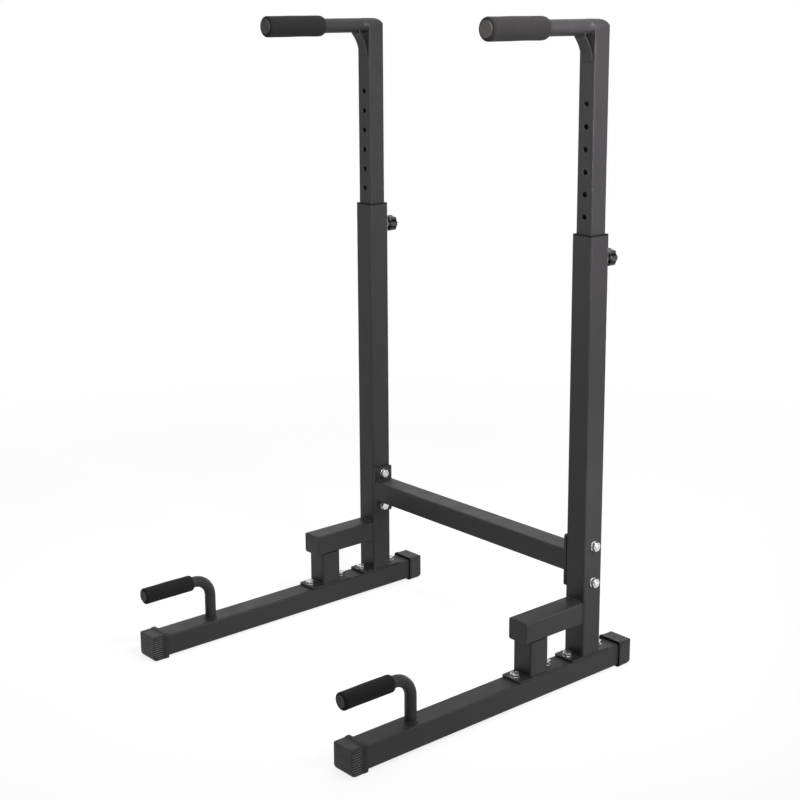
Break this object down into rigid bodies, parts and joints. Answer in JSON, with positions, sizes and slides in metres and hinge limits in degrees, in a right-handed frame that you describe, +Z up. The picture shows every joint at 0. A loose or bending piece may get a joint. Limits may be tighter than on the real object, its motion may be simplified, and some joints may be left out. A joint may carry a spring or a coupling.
{
  "type": "dip stand with push-up handles",
  "caption": "Free-standing dip station: two telescoping uprights with foam dip bars on floor beams, joined by a low crossbar, with pull pins and low push-up handles.",
  "frame": {"origin": "on the floor, in the middle of the footprint", "axes": "+Z up, +X to the right as seen from the front, -Y to the front, where the dip bars and the push-up handles point"},
  "size_m": [0.7266, 0.743, 1.3091],
  "materials": {
    "powder_coated_steel": "satin charcoal powder coat",
    "moulded_plastic": "moulded satin black",
    "grip_foam": "closed-cell foam, matte black",
    "glossy_plastic": "glossy black",
    "zinc_plated_steel": "bright zinc plate"
  },
  "bodies": {
    "frame": {"base_beam_left": "powder_coated_steel", "base_beam_right": "powder_coated_steel", "front_cap_left": "moulded_plastic", "front_cap_right": "moulded_plastic", "rear_cap_left": "moulded_plastic", "rear_cap_right": "moulded_plastic", "upright_sleeve_left": "powder_coated_steel", "upright_sleeve_right": "powder_coated_steel", "upright_plate_left": "powder_coated_steel", "upright_plate_right": "powder_coated_steel", "step_plate_left": "powder_coated_steel", "step_plate_right": "powder_coated_steel", "step_post_left": "powder_coated_steel", "step_post_right": "powder_coated_steel", "step_arm_left": "powder_coated_steel", "step_arm_right": "powder_coated_steel", "sleeve_bushing_left": "moulded_plastic", "sleeve_bushing_right": "moulded_plastic", "push_up_handle_left": "powder_coated_steel", "push_up_handle_right": "powder_coated_steel", "push_up_grip_left": "grip_foam", "push_up_grip_right": "grip_foam", "push_up_plug_left": "moulded_plastic", "push_up_plug_right": "moulded_plastic", "pin_housing_left": "zinc_plated_steel", "pin_housing_right": "zinc_plated_steel", "pin_spring_left": "zinc_plated_steel", "pin_spring_right": "zinc_plated_steel", "crossbar": "powder_coated_steel", "crossbar_plate_left": "powder_coated_steel", "crossbar_plate_right": "powder_coated_steel", "foot_bolt_left_1": "zinc_plated_steel", "foot_bolt_left_2": "zinc_plated_steel", "foot_bolt_left_3": "zinc_plated_steel", "foot_bolt_left_4": "zinc_plated_steel", "foot_bolt_right_1": "zinc_plated_steel", "foot_bolt_right_2": "zinc_plated_steel", "foot_bolt_right_3": "zinc_plated_steel", "foot_bolt_right_4": "zinc_plated_steel", "crossbar_bolt_left_lower": "zinc_plated_steel", "crossbar_bolt_left_upper": "zinc_plated_steel", "crossbar_bolt_right_lower": "zinc_plated_steel", "crossbar_bolt_right_upper": "zinc_plated_steel"},
    "dip_arm_left": {"inner_tube_left": "powder_coated_steel", "guide_shoe_left": "moulded_plastic", "dip_bar_left": "powder_coated_steel", "dip_gusset_left": "powder_coated_steel", "dip_grip_left": "grip_foam", "dip_plug_left": "moulded_plastic"},
    "dip_arm_right": {"inner_tube_right": "powder_coated_steel", "guide_shoe_right": "moulded_plastic", "dip_bar_right": "powder_coated_steel", "dip_gusset_right": "powder_coated_steel", "dip_grip_right": "grip_foam", "dip_plug_right": "moulded_plastic"},
    "locking_pin_left": {"pull_pin_left": "zinc_plated_steel", "pull_knob_left": "glossy_plastic"},
    "locking_pin_right": {"pull_pin_right": "zinc_plated_steel", "pull_knob_right": "glossy_plastic"}
  },
  "joints": [
    {"name": "dip_height_left", "type": "slide", "parent": "frame", "child": "dip_arm_left", "axis": [0, 0, 1], "range_m": [-0.2538, 0]},
    {"name": "dip_height_right", "type": "slide", "parent": "frame", "child": "dip_arm_right", "axis": [0, 0, 1], "range_m": [-0.2538, 0]},
    {"name": "pin_pull_left", "type": "slide", "parent": "frame", "child": "locking_pin_left", "axis": [0, 1, 0], "range_m": [0, 0.0095], "stiffness_N_per_m": 1200, "springref_m": -0.004, "deforming": ["pin_spring_left"]},
    {"name": "pin_pull_right", "type": "slide", "parent": "frame", "child": "locking_pin_right", "axis": [0, 1, 0], "range_m": [0, 0.0095], "stiffness_N_per_m": 1200, "springref_m": -0.004, "deforming": ["pin_spring_right"]}
  ]
}
